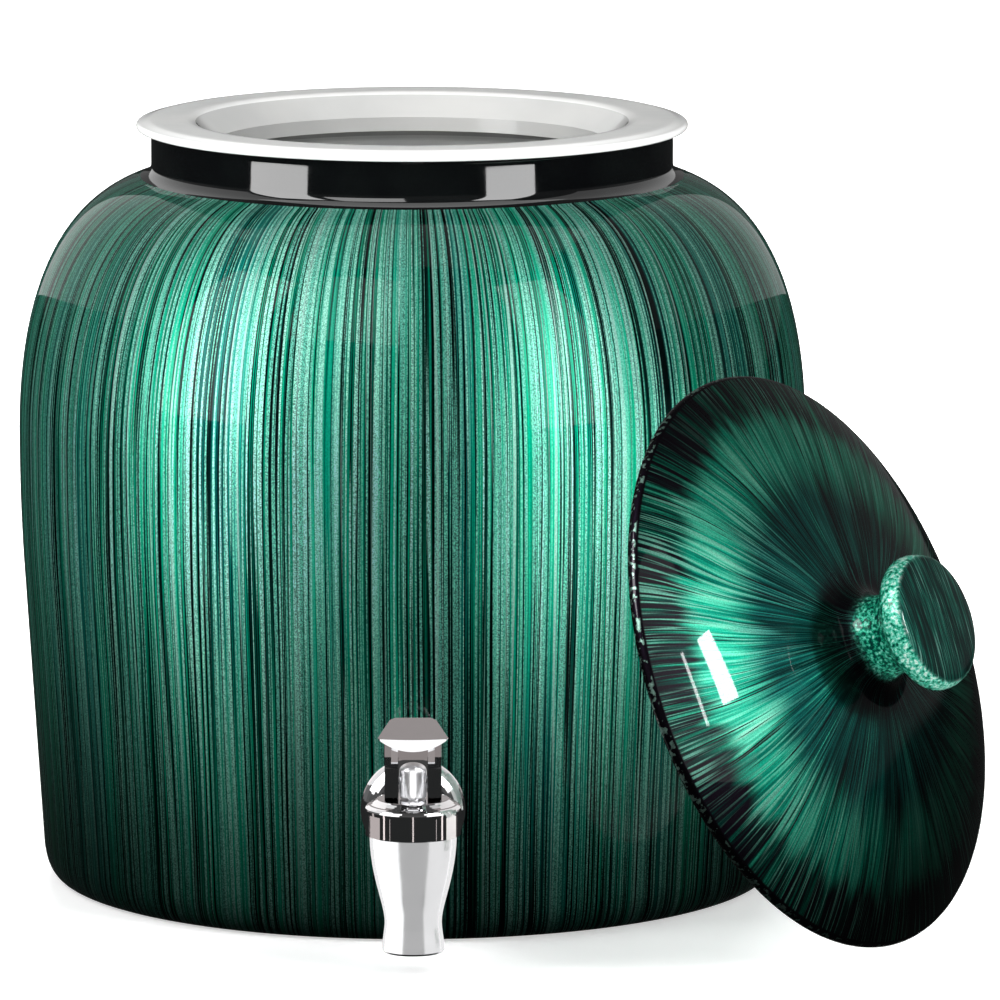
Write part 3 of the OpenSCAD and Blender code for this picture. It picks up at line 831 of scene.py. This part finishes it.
def moulded(name, dark, light, rough, scale):
    """Moulded rubber, plastic or silicone with a fine grain."""
    material, g = new_material(name)
    grain = g.noise(g.object_place(), scale=scale, detail=3.0)
    finish_material(g, {
        "Base Color": g.mix(grain, dark, light),
        "Roughness": g.spread(grain, 0.3, 0.7, rough, rough + 0.12),
        "Normal": g.bump(grain, 0.25, 0.0002)})
    return material


def dress(piece, material):
    piece.data.materials.clear()
    piece.data.materials.append(material)


def soft_copy(name, material):
    """A copy of a CAD node that stands for it, with the node hidden."""
    piece = bpy.data.objects.new(name + "_soft", nodes[name].data.copy())
    scene.collection.objects.link(piece)
    dress(piece, material)
    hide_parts(name)
    return piece


def dress_faucet():
    chrome = metal("faucet_chrome", CHROME, 0.04)
    steel = metal("drawn_steel", STEEL, 0.22, 0.1)
    rubber = moulded("gasket_rubber", srgb(18, 18, 19), srgb(34, 34, 35), 0.62, 900.0)
    nylon = moulded("white_nylon", srgb(214, 214, 208), srgb(232, 232, 228), 0.40, 600.0)
    silicone = moulded("clear_silicone", srgb(206, 206, 202), srgb(228, 228, 226), 0.35, 500.0)
    looks = {
        "wall_escutcheon": chrome, "bonnet": chrome, "lever_handle": chrome,
        "faucet_body": metal("spout_chrome", CHROME, 0.17),
        "valve_stem": metal("satin_chrome", CHROME, 0.32),
        "lever_pin": steel, "outer_gasket": rubber, "inner_gasket": rubber,
        "shank_washer": nylon, "shank_nut": nylon}
    for name, material in looks.items():
        dress(nodes[name], material)

    spring = soft_copy("valve_spring", steel)
    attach(spring, "dispenser")
    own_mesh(spring)
    cup = soft_copy("seat_cup", silicone)
    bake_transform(cup)


# ---------------------------------------------------------------- floor and backdrop

FLOOR_RADIUS = 14.0
FLOOR_DROP = 0.0002             # keeps the floor's face off the foot ring's
BACKDROP_RADIUS = 13.9
BACKDROP_H = 9.0
BACKDROP_SUNK = 0.1             # how far it reaches below the floor


def paper():
    """White paper that glows a little less near the crock, so that its shadows show."""
    material, g = new_material("floor_paper")
    place = g.object_place()
    glow = g.spread(g.vector("LENGTH", place, out="Value"), 0.22, 0.60, 0.50, 1.0)
    tone = g.mix(g.noise(place, scale=3.0, detail=2.0), (0.80, 0.80, 0.80, 1), (0.84, 0.84, 0.84, 1))
    finish_material(g, {
        "Base Color": tone, "Roughness": 1.0, "Specular IOR Level": 0.0,
        "Emission Color": (1, 1, 1, 1), "Emission Strength": glow})
    return material


def add_stage_piece(name, mesh, height, material):
    """A piece of the studio, which the ware doesn't mirror and which casts no shadow."""
    data = bpy.data.meshes.new(name)
    mesh.to_mesh(data)
    mesh.free()
    data.materials.append(material)
    piece = bpy.data.objects.new(name, data)
    piece.location.z = height
    scene.collection.objects.link(piece)
    piece.visible_glossy = False
    piece.visible_shadow = False
    return piece


def add_stage():
    """The floor, and a tall round wall that hides the floor's far edge in low views."""
    material = paper()
    mesh = bmesh.new()
    bmesh.ops.create_circle(mesh, cap_ends=True, segments=64, radius=FLOOR_RADIUS)
    floor = add_stage_piece("floor", mesh, -FLOOR_DROP, material)
    mesh = bmesh.new()
    bmesh.ops.create_cone(
        mesh, segments=64, radius1=BACKDROP_RADIUS, radius2=BACKDROP_RADIUS, depth=BACKDROP_H)
    backdrop = add_stage_piece("backdrop", mesh, BACKDROP_H / 2 - BACKDROP_SUNK, material)
    backdrop.visible_diffuse = False
    return floor


add_camera()
add_world()
floor, crock, lid = add_stage(), build_crock(), build_lid()
dress_faucet()
add_lights(floor, crock, lid)
scene.view_settings.view_transform = "Standard"
